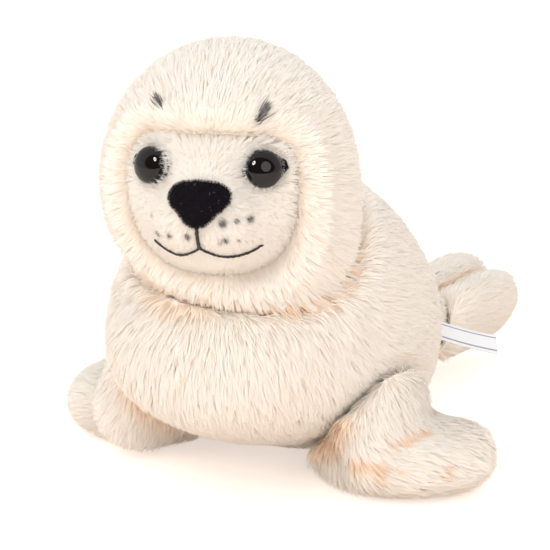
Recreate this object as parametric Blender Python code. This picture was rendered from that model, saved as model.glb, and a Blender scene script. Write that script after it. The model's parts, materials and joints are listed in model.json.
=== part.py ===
"""A stuffed seal pup that lies on its belly, with its head turned to one side.

Each stuffed pouch is one solid whose surface is the tips of its pile. The frame stands on the ground: +Z is up,
the nose points to -Y, the hind flippers to +Y, and the origin is on the flat of the belly. Left and right are the
seal's own, so its left is +X.
"""

import math

import bmesh
import bpy
import numpy as np
from mathutils import Matrix, Vector

# Sizes are in metres and angles in degrees
SEAM_GAP = 0.0003

# Trunk stations from the chest to the tail: place along the body, half width, and the heights of the underside,
# of the widest place and of the back
TRUNK_STATIONS = (
    (-0.1290, 0.0000, 0.0560, 0.0560, 0.0560),
    (-0.1250, 0.0240, 0.0430, 0.0570, 0.0740),
    (-0.1140, 0.0395, 0.0320, 0.0590, 0.0860),
    (-0.0920, 0.0530, 0.0210, 0.0600, 0.1120),
    (-0.0620, 0.0595, 0.0115, 0.0600, 0.1290),
    (-0.0300, 0.0585, 0.0010, 0.0570, 0.1235),
    (0.0000, 0.0505, -0.0050, 0.0530, 0.1055),
    (0.0250, 0.0380, -0.0050, 0.0480, 0.0870),
    (0.0480, 0.0265, 0.0020, 0.0430, 0.0690),
    (0.0700, 0.0185, 0.0120, 0.0370, 0.0550),
    (0.0880, 0.0140, 0.0180, 0.0330, 0.0460),
    (0.0960, 0.0000, 0.0320, 0.0320, 0.0320),
)
TRUNK_SQUARENESS_UP = 2.3
TRUNK_SQUARENESS_DOWN = 2.0

# Head: its centre, the turn to the seal's left, and the hood of long pile
HEAD_CENTRE = (0.0026, -0.0880, 0.1296)
HEAD_TURN = 17.6
HEAD_RADIUS = 0.0510
# Where the pressed and stuffed hood leaves the ball, as height, side, up and spread: the nape's left, the crown,
# the right cheek and the left one, which the turned head pushes out against the shoulder
HOOD_SWELLINGS = (
    (-0.0120, 150.0, 8.0, 46.0),
    (0.0012, 60.0, 68.0, 50.0),
    (0.0030, -80.0, -36.0, 28.0),
    (0.0125, 72.0, -54.0, 34.0),
)
HOOD_EDGE_DROP = 0.0016
HOOD_EDGE_ROUND = 2.0

# The hood's face opening, as angles at the head's centre
OPENING_HALF_WIDTH = 46.0
OPENING_MIDDLE = -7.5
OPENING_UP = 35.0
OPENING_DOWN = 41.0
OPENING_SQUARENESS_UP = 5.0
OPENING_SQUARENESS_DOWN = 3.2

# Face panel of short pile, which fills the opening down to a seat inside the head
SEAT_RADIUS = 0.0400
FACE_THICKNESS = 0.0070
FACE_EDGE_DROP = 0.0015
FACE_EDGE_POWER = 10
MUZZLE_HEIGHT = 0.0110
MUZZLE_MIDDLE = -11.0
MUZZLE_WIDE = 24.0
MUZZLE_TALL = 20.0
WHISKER_PAD_HEIGHT = 0.0030
WHISKER_PAD_SIDE = 11.0
WHISKER_PAD_MIDDLE = -15.0
WHISKER_PAD_SPREAD = 9.0
CHIN_HEIGHT = 0.0030
CHIN_MIDDLE = -31.0
CHIN_WIDE = 15.0
CHIN_TALL = 6.0

# Safety eyes, each a glossy dome on a ribbed stem, a felt backing and a lock washer behind the face
EYE_SIDE = 27.0
EYE_UP = 10.6
EYE_FLAT_RADIUS = 0.0108
EYE_FLAT_FADE = 0.0055
EYE_RADIUS = 0.0070
EYE_DOME_HEIGHT = 0.0046
EYE_RIM_HEIGHT = 0.0009
STEM_RADIUS = 0.0024
STEM_PLAIN = 0.0022
STEM_RIB = 0.0004
STEM_RIBS = 4
STEM_RIB_PITCH = 0.0011
STEM_RIB_SLOPE = 0.0007
STEM_TIP = 0.0004
FELT_THICKNESS = 0.0010
FELT_MARGIN = 0.0002
FELT_OUTER_CORNER = 0.0028
FELT_INNER_CORNER = 0.0010
FELT_CORNER_POWER = 12
FELT_SLANT = 6.0
WASHER_RADIUS = 0.0062
WASHER_THICKNESS = 0.0014
WASHER_RIM = 0.0005
SOCKET_OVERRUN = 0.0020
# From the head's seat out: the stem's clearance and tip, the washer, and the web of face that it clamps
STEM_CLEARANCE = 0.0006
FACE_WEB = 0.0035
EYE_SEAT_RADIUS = SEAT_RADIUS + STEM_CLEARANCE + STEM_TIP + WASHER_THICKNESS + SEAM_GAP + FACE_WEB

# Nose of felt, a rounded triangle on the muzzle: half of its outline, from the middle of the top edge down
NOSE_MIDDLE = -0.5
NOSE_HEIGHT = 0.0048
NOSE_EDGE_HEIGHT = 0.0012
NOSE_HALF_OUTLINE = (
    (0.0000, 0.0061),
    (0.0062, 0.0057),
    (0.0104, 0.0037),
    (0.0120, 0.0008),
    (0.0104, -0.0022),
    (0.0066, -0.0048),
    (0.0036, -0.0080),
    (0.0000, -0.0092),
)

# Mouth stitched in thread, as angles on the face: the line below the nose, then one side of the smile
THREAD_RADIUS = 0.0006
THREAD_END_SHARE = 0.75
THREAD_END_REACH = 0.0004
PHILTRUM = ((0.0, -10.5), (0.0, -15.0), (0.0, -19.6))
SMILE = ((0.0, -19.4), (3.5, -22.0), (9.0, -24.9), (15.5, -26.4), (21.5, -26.0), (26.5, -24.0))

# Front flipper, sewn from one pouch: the arm comes down the flank, the hand lies on the ground.
# Stations: centre, half width, half thickness. The sweep turns the width back from straight across
ARM_STATIONS = (
    (0.0450, -0.0470, 0.0660, 0.0000, 0.0000),
    (0.0470, -0.0480, 0.0610, 0.0150, 0.0090),
    (0.0500, -0.0510, 0.0490, 0.0250, 0.0140),
    (0.0525, -0.0550, 0.0350, 0.0300, 0.0165),
    (0.0540, -0.0580, 0.0210, 0.0300, 0.0170),
    (0.0540, -0.0590, 0.0080, 0.0240, 0.0140),
    (0.0540, -0.0590, 0.0030, 0.0000, 0.0000),
)
ARM_SWEEP = 12.0
HAND_STATIONS = (
    (0.0220, -0.0540, 0.0120, 0.0000, 0.0000),
    (0.0260, -0.0550, 0.0125, 0.0140, 0.0095),
    (0.0390, -0.0570, 0.0130, 0.0235, 0.0135),
    (0.0560, -0.0570, 0.0140, 0.0295, 0.0150),
    (0.0710, -0.0530, 0.0145, 0.0295, 0.0155),
    (0.0850, -0.0465, 0.0145, 0.0235, 0.0145),
    (0.0950, -0.0415, 0.0140, 0.0140, 0.0110),
    (0.1000, -0.0390, 0.0135, 0.0000, 0.0000),
)
HAND_SWEEP = 22.0
# The two hands lie a little differently. Each is moved out and back, turned back about its wrist, and has what lies
# inward of the wrist drawn in to a share of its length
WRIST = (0.0450, -0.0550)
ARM_POSE = (0.0, 0.0, 0.0, 1.0)
LEFT_HAND_POSE = (-0.0045, 0.0010, 0.0, 1.0)
RIGHT_HAND_POSE = (0.0085, 0.0055, 18.0, 0.5)
FLIPPER_ROUNDNESS = 0.9

# Hind flipper stations from inside the tail to the tip: how far back, half height, half thickness
HIND_FLIPPER_STATIONS = (
    (0.0000, 0.0000, 0.0000),
    (0.0040, 0.0110, 0.0070),
    (0.0220, 0.0175, 0.0110),
    (0.0480, 0.0200, 0.0130),
    (0.0700, 0.0195, 0.0130),
    (0.0860, 0.0150, 0.0105),
    (0.0930, 0.0000, 0.0000),
)
# Each side's root, and how the paddle turns out, rises and rolls
HIND_FLIPPER_LEFT = ((0.0105, 0.0665, 0.0275), 0.0, 1.0, 24.0)
HIND_FLIPPER_RIGHT = ((0.0125, 0.0790, 0.0285), -3.0, 2.5, 8.0)

# Sewn-in ribbon on the left flank
LABEL_ROOT = (0.0310, 0.0170, 0.0500)
LABEL_LENGTH = 0.0360
LABEL_WIDTH = 0.0100
LABEL_THICKNESS = 0.0008
LABEL_HEADING = 30.0
LABEL_DROP = 0.0110
LABEL_DROP_EASE = 0.75
LABEL_LEAN = 52.0

# How finely the round forms are cut into facets
TRUNK_AROUND = 36
TRUNK_ALONG = 3
HEAD_AROUND = 48
HEAD_ALONG = 13
FACE_ALONG = 12
FLIPPER_AROUND = 20
FLIPPER_ALONG = 3
EYE_AROUND = 20
DOME_STEPS = 6
THREAD_AROUND = 8
LABEL_STEPS = 10
NO_WIDTH = 0.00001
SHARP_ANGLE = 50.0

CREAM = (0.87, 0.80, 0.71, 1.0)
PALE_CREAM = (0.90, 0.86, 0.80, 1.0)
BLACK = (0.012, 0.011, 0.010, 1.0)
WHITE = (0.90, 0.90, 0.88, 1.0)


def clear_scene():
    for obj in list(bpy.data.objects):
        bpy.data.objects.remove(obj)


def finish(name, colour, roughness):
    """A material of one colour."""
    material = bpy.data.materials.new(name)
    material.use_nodes = True
    shader = material.node_tree.nodes["Principled BSDF"]
    shader.inputs["Base Color"].default_value = colour
    shader.inputs["Roughness"].default_value = roughness
    shader.inputs["Metallic"].default_value = 0.0
    return material


def smooth_path(stations, steps):
    """Rows between the stations on a Catmull-Rom curve, with the stations themselves among them."""
    rows = np.array(stations, float)
    ends = np.vstack([2 * rows[0] - rows[1], rows, 2 * rows[-1] - rows[-2]])
    found = []
    for before, start, end, after in zip(ends, ends[1:], ends[2:], ends[3:]):
        for step in range(steps):
            t = step / steps
            found.append(
                0.5
                * (
                    2 * start
                    + (end - before) * t
                    + (2 * before - 5 * start + 4 * end - after) * t**2
                    + (3 * start - before - 3 * end + after) * t**3
                )
            )
    found.append(rows[-1])
    return np.array(found)


def signed_power(value, power):
    return math.copysign(abs(value) ** power, value)


def solid(name, rings, material):
    """An object lofted through rings of points. A ring of one point closes an end."""
    shape = bmesh.new()
    made = [[shape.verts.new(point) for point in ring] for ring in rings]
    for ring, following in zip(made, made[1:]):
        count = max(len(ring), len(following))
        for i in range(count):
            j = (i + 1) % count
            corners = [ring[i % len(ring)], ring[j % len(ring)]]
            corners += [following[j % len(following)], following[i % len(following)]]
            shape.faces.new(list(dict.fromkeys(corners)))
    return object_from(name, shape, material)


def object_from(name, shape, material):
    bmesh.ops.recalc_face_normals(shape, faces=shape.faces)
    mesh = bpy.data.meshes.new(name)
    shape.to_mesh(mesh)
    shape.free()
    mesh.shade_smooth()
    mesh.set_sharp_from_angle(angle=math.radians(SHARP_ANGLE))
    if material:
        mesh.materials.append(material)
    obj = bpy.data.objects.new(name, mesh)
    bpy.context.scene.collection.objects.link(obj)
    return obj


def make_cutter(obj):
    obj.hide_render = True
    obj.display_type = "WIRE"
    return obj


def swollen(obj, gap):
    """A hidden copy of a solid that is larger by the gap all over, to cut a seat for it."""
    copy = obj.copy()
    copy.data = obj.data.copy()
    copy.name = obj.name + "_room"
    bpy.context.scene.collection.objects.link(copy)
    normals = [vertex.normal.copy() for vertex in obj.data.vertices]
    for vertex, normal in zip(copy.data.vertices, normals):
        vertex.co += normal * gap
    return make_cutter(copy)


def boolean(obj, operation, other):
    modifier = obj.modifiers.new(other.name, "BOOLEAN")
    modifier.operation = operation
    modifier.solver = "EXACT"
    modifier.object = other


def make_trunk(material):
    """Oval sections along the body, flat where the belly lies on the ground."""
    rings = []
    for place, half_width, underside, middle, back in smooth_path(TRUNK_STATIONS, TRUNK_ALONG):
        if half_width < NO_WIDTH:
            rings.append([Vector((0.0, place, middle))])
            continue
        ring = []
        for i in range(TRUNK_AROUND):
            angle = 2 * math.pi * i / TRUNK_AROUND
            rising = math.sin(angle) > 0
            power = 2 / (TRUNK_SQUARENESS_UP if rising else TRUNK_SQUARENESS_DOWN)
            reach = back - middle if rising else middle - underside
            across = half_width * signed_power(math.cos(angle), power)
            height = middle + reach * signed_power(math.sin(angle), power)
            ring.append(Vector((across, place, max(height, 0.0))))
        rings.append(ring)
    return solid("trunk", rings, material)


def direction(side, up):
    """The unit vector from the head's centre, with the face ahead along -Y."""
    side, up = math.radians(side), math.radians(up)
    return Vector((math.sin(side) * math.cos(up), -math.cos(side) * math.cos(up), math.sin(up)))


def angles_of(ray):
    ray = ray.normalized()
    return math.degrees(math.atan2(ray.x, -ray.y)), math.degrees(math.asin(ray.z))


AHEAD = Vector((0.0, -1.0, 0.0))


def opening_spokes():
    """For each step round the face opening: the angle from straight ahead to its edge, and the way there."""
    spokes = []
    for i in range(HEAD_AROUND):
        turn = 2 * math.pi * i / HEAD_AROUND
        across, rise = math.cos(turn), math.sin(turn)
        squareness = OPENING_SQUARENESS_UP if rise > 0 else OPENING_SQUARENESS_DOWN
        reach = (abs(across) ** squareness + abs(rise) ** squareness) ** (-1 / squareness)
        up = rise * reach * (OPENING_UP if rise > 0 else OPENING_DOWN)
        edge = direction(OPENING_HALF_WIDTH * across * reach, OPENING_MIDDLE + up)
        spokes.append((AHEAD.angle(edge), (edge - AHEAD * edge.dot(AHEAD)).normalized()))
    return spokes


def on_spoke(way, angle, radius):
    return (AHEAD * math.cos(angle) + way * math.sin(angle)) * radius


def hill(side, up, middle_side, middle_up, wide, tall):
    return math.exp(-(((side - middle_side) / wide) ** 2) - ((up - middle_up) / tall) ** 2)


def face_radius(ray):
    """Distance from the head's centre to the face along a ray."""
    ray = ray.normalized()
    side, up = angles_of(ray)
    radius = SEAT_RADIUS + FACE_THICKNESS
    radius += MUZZLE_HEIGHT * hill(side, up, 0, MUZZLE_MIDDLE, MUZZLE_WIDE, MUZZLE_TALL)
    radius += CHIN_HEIGHT * hill(side, up, 0, CHIN_MIDDLE, CHIN_WIDE, CHIN_TALL)
    for sign in (-1, 1):
        spread = WHISKER_PAD_SPREAD
        pad = hill(side, up, sign * WHISKER_PAD_SIDE, WHISKER_PAD_MIDDLE, spread, spread)
        radius += WHISKER_PAD_HEIGHT * pad
    for sign in (-1, 1):
        along = max(ray.dot(direction(sign * EYE_SIDE, EYE_UP)), 0.1)
        off_axis = EYE_SEAT_RADIUS * math.sqrt(1 - min(along, 1.0) ** 2) / along
        fade = min(max((EYE_FLAT_RADIUS + EYE_FLAT_FADE - off_axis) / EYE_FLAT_FADE, 0.0), 1.0)
        fade = fade * fade * (3 - 2 * fade)
        radius += fade * (EYE_SEAT_RADIUS / along - radius)
    return radius


def swelling(ray, side, up, spread):
    """1 along a direction from the head's centre, fading to 0 away from it."""
    return math.exp(-((math.degrees(ray.angle(direction(side, up))) / spread) ** 2))


def hood_radius(ray):
    """Distance from the head's centre to the hood along a ray."""
    return HEAD_RADIUS + sum(height * swelling(ray, *place) for height, *place in HOOD_SWELLINGS)


def make_head(material):
    """The hood: a ball of long pile with a sunk seat for the face panel."""
    spokes = opening_spokes()
    rings = [[AHEAD * SEAT_RADIUS]]
    for share in (0.25, 0.5, 0.75, 1.0):
        rings.append([on_spoke(way, edge * share, SEAT_RADIUS) for edge, way in spokes])
    rounding = math.radians(HOOD_EDGE_ROUND)
    for step in (0.0, 0.4, 1.0):
        ring = []
        for edge, way in spokes:
            ray = on_spoke(way, edge + rounding * step, 1.0)
            ring.append(ray * (hood_radius(ray) - HOOD_EDGE_DROP * (1 - step) ** 2))
        rings.append(ring)
    for i in range(1, HEAD_ALONG):
        ring = []
        for edge, way in spokes:
            start = edge + rounding
            ray = on_spoke(way, start + (math.pi - start) * i / HEAD_ALONG, 1.0)
            ring.append(ray * hood_radius(ray))
        rings.append(ring)
    rings.append([AHEAD * -hood_radius(-AHEAD)])
    return solid("head", rings, material)


def make_face_panel(material):
    """Fills the hood's opening. Its front is the face, and its back follows the seat."""
    spokes = opening_spokes()
    back_radius = SEAT_RADIUS + SEAM_GAP
    side_gap = SEAM_GAP / SEAT_RADIUS
    rings = [[AHEAD * face_radius(AHEAD)]]
    for i in range(1, FACE_ALONG + 1):
        share = i / FACE_ALONG
        ring = []
        for edge, way in spokes:
            ray = on_spoke(way, (edge - side_gap) * share, 1.0)
            ring.append(ray * (face_radius(ray) - FACE_EDGE_DROP * share**FACE_EDGE_POWER))
        rings.append(ring)
    for share in (1.0, 0.75, 0.5, 0.25):
        rings.append([on_spoke(way, (edge - side_gap) * share, back_radius) for edge, way in spokes])
    rings.append([AHEAD * back_radius])
    return solid("face_panel", rings, material)


def on_face(axis, across, up, lift):
    """The point above the face that lies across and up from an axis, both measured square to it."""
    right = axis.cross(Vector((0.0, 0.0, 1.0))).normalized() * -1
    above = right.cross(axis).normalized() * -1
    ray = (axis * face_radius(axis) + right * across + above * up).normalized()
    return ray * (face_radius(ray) + lift)


def make_nose(material):
    """A domed patch whose back follows the muzzle."""
    half = list(NOSE_HALF_OUTLINE)
    around = half + [(-across, up) for across, up in reversed(half[1:-1])]
    wrapped = smooth_path(around + around[:3], 3)[3:-6]
    axis = direction(0, NOSE_MIDDLE)
    backs = []
    fronts = []
    for share in (0.25, 0.5, 0.75, 0.92, 1.0):
        lift = NOSE_EDGE_HEIGHT + (NOSE_HEIGHT - NOSE_EDGE_HEIGHT) * math.sqrt(1 - share**2)
        backs.append([on_face(axis, a * share, u * share, SEAM_GAP) for a, u in wrapped])
        fronts.append([on_face(axis, a * share, u * share, SEAM_GAP + lift) for a, u in wrapped])
    front_pole = [on_face(axis, 0, 0, SEAM_GAP + NOSE_HEIGHT)]
    back_pole = [on_face(axis, 0, 0, SEAM_GAP)]
    return solid("nose", [front_pole] + fronts + backs[::-1] + [back_pole], material)


def thread_run(name, angles, material):
    """A round thread that lies on the face along a curve."""
    route = []
    for side, up in smooth_path(angles, 4):
        ray = direction(side, up)
        route.append(ray * (face_radius(ray) + SEAM_GAP + THREAD_RADIUS))
    rings = [[route[0] - (route[1] - route[0]).normalized() * THREAD_END_REACH]]
    turns = [2 * math.pi * i / THREAD_AROUND for i in range(THREAD_AROUND)]
    for i, point in enumerate(route):
        along = (route[min(i + 1, len(route) - 1)] - route[max(i - 1, 0)]).normalized()
        out = point.normalized()
        across = along.cross(out).normalized()
        at_end = i in (0, len(route) - 1)
        radius = THREAD_RADIUS * (THREAD_END_SHARE if at_end else 1.0)
        rings.append([point + (across * math.cos(t) + out * math.sin(t)) * radius for t in turns])
    rings.append([route[-1] + (route[-1] - route[-2]).normalized() * THREAD_END_REACH])
    return solid(name, rings, material)


def make_mouth(material):
    """The line below the nose and both sides of the smile, as one run of stitching."""
    mouth = thread_run("mouth_stitching", PHILTRUM, material)
    for sign, side_name in ((1, "left"), (-1, "right")):
        angles = [(sign * side, up) for side, up in SMILE]
        smile = make_cutter(thread_run("smile_" + side_name, angles, None))
        boolean(mouth, "UNION", smile)
        smile.parent = bpy.data.objects["head_centre"]
    return mouth


def turned(name, profile, axis, up_from_centre, material):
    """A profile of (radius, height) points turned about an axis through the head's centre."""
    right = axis.cross(Vector((0.0, 0.0, 1.0))).normalized()
    above = right.cross(axis).normalized()
    turns = [2 * math.pi * i / EYE_AROUND for i in range(EYE_AROUND)]
    rings = []
    for radius, height in profile:
        middle = axis * (up_from_centre + height)
        if radius < NO_WIDTH:
            rings.append([middle])
        else:
            rings.append([middle + (right * math.cos(t) + above * math.sin(t)) * radius for t in turns])
    if len(rings[0]) > 1:
        return ring_solid(name, rings, material)
    return solid(name, rings, material)


def ring_solid(name, rings, material):
    """A ring-shaped solid: its last ring of points joins its first."""
    shape = bmesh.new()
    made = [[shape.verts.new(point) for point in ring] for ring in rings]
    for ring, following in zip(made, made[1:] + made[:1]):
        for i in range(len(ring)):
            j = (i + 1) % len(ring)
            shape.faces.new((ring[i], ring[j], following[j], following[i]))
    return object_from(name, shape, material)


def eye_profile():
    """Half of the eye's section from the front down to the stem's tip, heights from the back of the dome."""
    profile = [(0.0, EYE_DOME_HEIGHT)]
    for i in range(1, DOME_STEPS + 1):
        turn = math.pi / 2 * i / DOME_STEPS
        drop = (EYE_DOME_HEIGHT - EYE_RIM_HEIGHT) * math.cos(turn)
        profile.append((EYE_RADIUS * math.sin(turn), EYE_RIM_HEIGHT + drop))
    profile += [(EYE_RADIUS, 0.0), (STEM_RADIUS, 0.0)]
    for i in range(STEM_RIBS):
        top = -STEM_PLAIN - STEM_RIB_PITCH * i
        profile += [(STEM_RADIUS, top), (STEM_RADIUS - STEM_RIB, top - STEM_RIB_SLOPE)]
    profile += [(STEM_RADIUS - STEM_RIB, -stem_length()), (0.0, -stem_length())]
    return profile


def dome_base():
    return EYE_SEAT_RADIUS + SEAM_GAP + FELT_THICKNESS + SEAM_GAP


def washer_front():
    return EYE_SEAT_RADIUS - FACE_WEB - SEAM_GAP


def stem_length():
    return dome_base() - (washer_front() - WASHER_THICKNESS - STEM_TIP)


def felt_outline(sign):
    """The backing behind the eye, drawn out to a point at each corner."""
    points = []
    base = EYE_RADIUS + FELT_MARGIN
    for i in range(EYE_AROUND):
        turn = 2 * math.pi * i / EYE_AROUND
        towards = math.cos(turn - math.radians(FELT_SLANT))
        corner = FELT_OUTER_CORNER if towards > 0 else FELT_INNER_CORNER
        points.append((base + corner * abs(towards) ** FELT_CORNER_POWER, turn))
    return [(sign * r * math.cos(t), r * math.sin(t)) for r, t in points]


def make_felt(name, sign, axis, material):
    right = axis.cross(Vector((0.0, 0.0, 1.0))).normalized() * -1
    above = right.cross(axis).normalized() * -1
    low = EYE_SEAT_RADIUS + SEAM_GAP
    high = low + FELT_THICKNESS
    hole = STEM_RADIUS + SEAM_GAP
    outline = felt_outline(sign)

    def ring(height, share):
        points = []
        for across, up in outline:
            length = math.hypot(across, up)
            reach = hole + (length - hole) * share
            point = axis * height + (right * across + above * up) * (reach / length)
            points.append(point)
        return points

    rings = [ring(high, 0.0), ring(high, 1.0), ring(low, 1.0), ring(low, 0.0)]
    return ring_solid(name, rings, material)


def make_eye(side_name, sign, gloss, felt, plastic):
    """One safety eye with its felt and washer, and the cutter for its hole in the face panel."""
    axis = direction(sign * EYE_SIDE, EYE_UP)
    eye = turned("eye_" + side_name, eye_profile(), axis, dome_base(), gloss)
    backing = make_felt("eye_felt_" + side_name, sign, axis, felt)
    bore = STEM_RADIUS + SEAM_GAP
    section = [
        (bore, 0.0),
        (WASHER_RADIUS - WASHER_RIM, 0.0),
        (WASHER_RADIUS, -WASHER_RIM),
        (WASHER_RADIUS, -WASHER_THICKNESS),
        (bore, -WASHER_THICKNESS),
    ]
    washer = turned("eye_washer_" + side_name, section, axis, washer_front(), plastic)
    pocket = WASHER_RADIUS + SEAM_GAP
    room = [
        (0.0, EYE_SEAT_RADIUS + SOCKET_OVERRUN),
        (bore, EYE_SEAT_RADIUS + SOCKET_OVERRUN),
        (bore, washer_front() + SEAM_GAP),
        (pocket, washer_front() + SEAM_GAP),
        (pocket, SEAT_RADIUS - SOCKET_OVERRUN),
        (0.0, SEAT_RADIUS - SOCKET_OVERRUN),
    ]
    socket = make_cutter(turned("eye_socket_" + side_name, room, axis, 0.0, None))
    return [eye, backing, washer, socket]


def pouch(name, sign, stations, sweep, pose, material):
    """Oval sections along a bent path, flat where they meet the ground."""
    moved_out, moved_back, turn, inner_share = pose
    wrist = Vector((sign * WRIST[0], WRIST[1], 0.0))
    shift = Vector((sign * moved_out, moved_back, 0.0))
    spin = Matrix.Rotation(sign * math.radians(turn), 3, "Z")
    swept = math.radians(sweep + turn)
    chord = Vector((-sign * math.sin(swept), math.cos(swept), 0.0))
    rows = smooth_path(stations, FLIPPER_ALONG)
    centres = []
    for x, y, z in rows[:, :3]:
        reach = x - WRIST[0]
        x = WRIST[0] + reach * (inner_share if reach < 0 else 1.0)
        centres.append(wrist + shift + spin @ (Vector((sign * x, y, z)) - wrist))
    rings = []
    for i, (centre, row) in enumerate(zip(centres, rows)):
        half_width, half_thickness = row[3:]
        if half_width < NO_WIDTH:
            rings.append([centre])
            continue
        along = (centres[min(i + 1, len(centres) - 1)] - centres[max(i - 1, 0)]).normalized()
        out = along.cross(chord).normalized()
        ring = []
        for j in range(FLIPPER_AROUND):
            step = 2 * math.pi * j / FLIPPER_AROUND
            across = half_width * signed_power(math.cos(step), FLIPPER_ROUNDNESS)
            depth = half_thickness * signed_power(math.sin(step), FLIPPER_ROUNDNESS)
            point = centre + chord * across + out * depth
            ring.append(Vector((point.x, point.y, max(point.z, 0.0))))
        rings.append(ring)
    return solid(name, rings, material)


def make_front_flipper(side_name, sign, hand_pose, material):
    """The arm and the hand of one front flipper, with the fold where they meet."""
    hand = pouch("front_flipper_" + side_name, sign, HAND_STATIONS, HAND_SWEEP, hand_pose, material)
    arm = make_cutter(pouch("arm_" + side_name, sign, ARM_STATIONS, ARM_SWEEP, ARM_POSE, None))
    boolean(hand, "UNION", arm)
    return hand


def make_hind_flipper(side_name, sign, pose, material):
    """A paddle that stands half on its edge behind the tail."""
    root, turn, rise, roll = pose
    turn, rise, roll = math.radians(turn), math.radians(rise), math.radians(roll)
    back = Vector((sign * math.sin(turn), math.cos(turn), math.sin(rise))).normalized()
    across = back.cross(Vector((0.0, 0.0, 1.0))).normalized()
    upward = across.cross(back).normalized()
    tall = (upward * math.cos(roll) + across * sign * math.sin(roll)).normalized()
    thick = back.cross(tall).normalized()
    rings = []
    for reach, half_height, half_thickness in smooth_path(HIND_FLIPPER_STATIONS, FLIPPER_ALONG):
        centre = Vector((sign * root[0], root[1], root[2])) + back * reach
        if half_height < NO_WIDTH:
            rings.append([centre])
            continue
        ring = []
        for j in range(FLIPPER_AROUND):
            step = 2 * math.pi * j / FLIPPER_AROUND
            point = centre + tall * half_height * math.cos(step) + thick * half_thickness * math.sin(step)
            ring.append(Vector((point.x, point.y, max(point.z, 0.0))))
        rings.append(ring)
    return solid("hind_flipper_" + side_name, rings, material)


def make_label(material):
    """A bare ribbon that hangs out of the flank's seam in one soft curve."""
    heading = math.radians(LABEL_HEADING)
    lean = math.radians(LABEL_LEAN)
    out = Vector((math.cos(heading), math.sin(heading), 0.0))
    side = Vector((-math.sin(heading), math.cos(heading), 0.0))
    root = Vector(LABEL_ROOT)
    line = []
    for i in range(LABEL_STEPS + 1):
        share = i / LABEL_STEPS
        line.append(root + out * LABEL_LENGTH * share - Vector((0, 0, LABEL_DROP)) * share**LABEL_DROP_EASE)
    wide = (Vector((0.0, 0.0, 1.0)) * math.cos(lean) + side * math.sin(lean)) * (LABEL_WIDTH / 2)
    rings = []
    for i, point in enumerate(line):
        along = (line[min(i + 1, LABEL_STEPS)] - line[max(i - 1, 0)]).normalized()
        thick = along.cross(wide).normalized() * (LABEL_THICKNESS / 2)
        rings.append([point + wide + thick, point - wide + thick, point - wide - thick, point + wide - thick])
    shape = bmesh.new()
    made = [[shape.verts.new(point) for point in ring] for ring in rings]
    for ring, following in zip(made, made[1:]):
        for i in range(4):
            j = (i + 1) % 4
            shape.faces.new((ring[i], ring[j], following[j], following[i]))
    shape.faces.new(made[0])
    shape.faces.new(made[-1])
    return object_from("label", shape, material)


def main():
    clear_scene()
    long_pile = finish("long_pile", CREAM, 0.95)
    short_pile = finish("short_pile", PALE_CREAM, 0.95)
    black_felt = finish("black_felt", BLACK, 0.9)
    black_thread = finish("black_thread", BLACK, 0.6)
    eye_gloss = finish("eye_gloss", BLACK, 0.08)
    washer_plastic = finish("washer_plastic", WHITE, 0.4)
    ribbon = finish("ribbon", WHITE, 0.5)

    head_centre = bpy.data.objects.new("head_centre", None)
    head_centre.location = HEAD_CENTRE
    head_centre.rotation_euler.z = math.radians(HEAD_TURN)
    bpy.context.scene.collection.objects.link(head_centre)

    head = make_head(long_pile)
    face_panel = make_face_panel(short_pile)
    on_head = [head, face_panel, make_nose(black_felt), make_mouth(black_thread)]
    for side_name, sign in (("left", 1), ("right", -1)):
        pieces = make_eye(side_name, sign, eye_gloss, black_felt, washer_plastic)
        boolean(face_panel, "DIFFERENCE", pieces[-1])
        on_head += pieces
    head_room = swollen(head, SEAM_GAP)
    for obj in on_head + [head_room]:
        obj.parent = head_centre

    trunk = make_trunk(long_pile)
    boolean(trunk, "DIFFERENCE", head_room)
    trunk_room = swollen(trunk, SEAM_GAP)
    trunk_room.modifiers.clear()
    left = ("left", 1, LEFT_HAND_POSE, HIND_FLIPPER_LEFT)
    right = ("right", -1, RIGHT_HAND_POSE, HIND_FLIPPER_RIGHT)
    for side_name, sign, hand_pose, hind_pose in (left, right):
        boolean(make_front_flipper(side_name, sign, hand_pose, long_pile), "DIFFERENCE", trunk_room)
        boolean(make_hind_flipper(side_name, sign, hind_pose, long_pile), "DIFFERENCE", trunk_room)
    left_hind = bpy.data.objects["hind_flipper_left"]
    left_hind_room = swollen(left_hind, SEAM_GAP)
    left_hind_room.modifiers.clear()
    boolean(bpy.data.objects["hind_flipper_right"], "DIFFERENCE", left_hind_room)
    boolean(make_label(ribbon), "DIFFERENCE", trunk_room)


main()
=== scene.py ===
# %% [markdown]
# # Dressing a plush seal pup
#
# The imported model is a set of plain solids: the stuffed pouches of a toy seal, its safety eyes, its felt
# nose, a stitched mouth and a ribbon. This lesson gives them cloth, pile, thread and polish. Nothing is
# moved: each new piece is built around the solid that it stands for.

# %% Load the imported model
import json
import math

import bmesh
import bpy
import numpy as np
from mathutils import Matrix, Vector, kdtree
from mathutils.bvhtree import BVHTree

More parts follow.
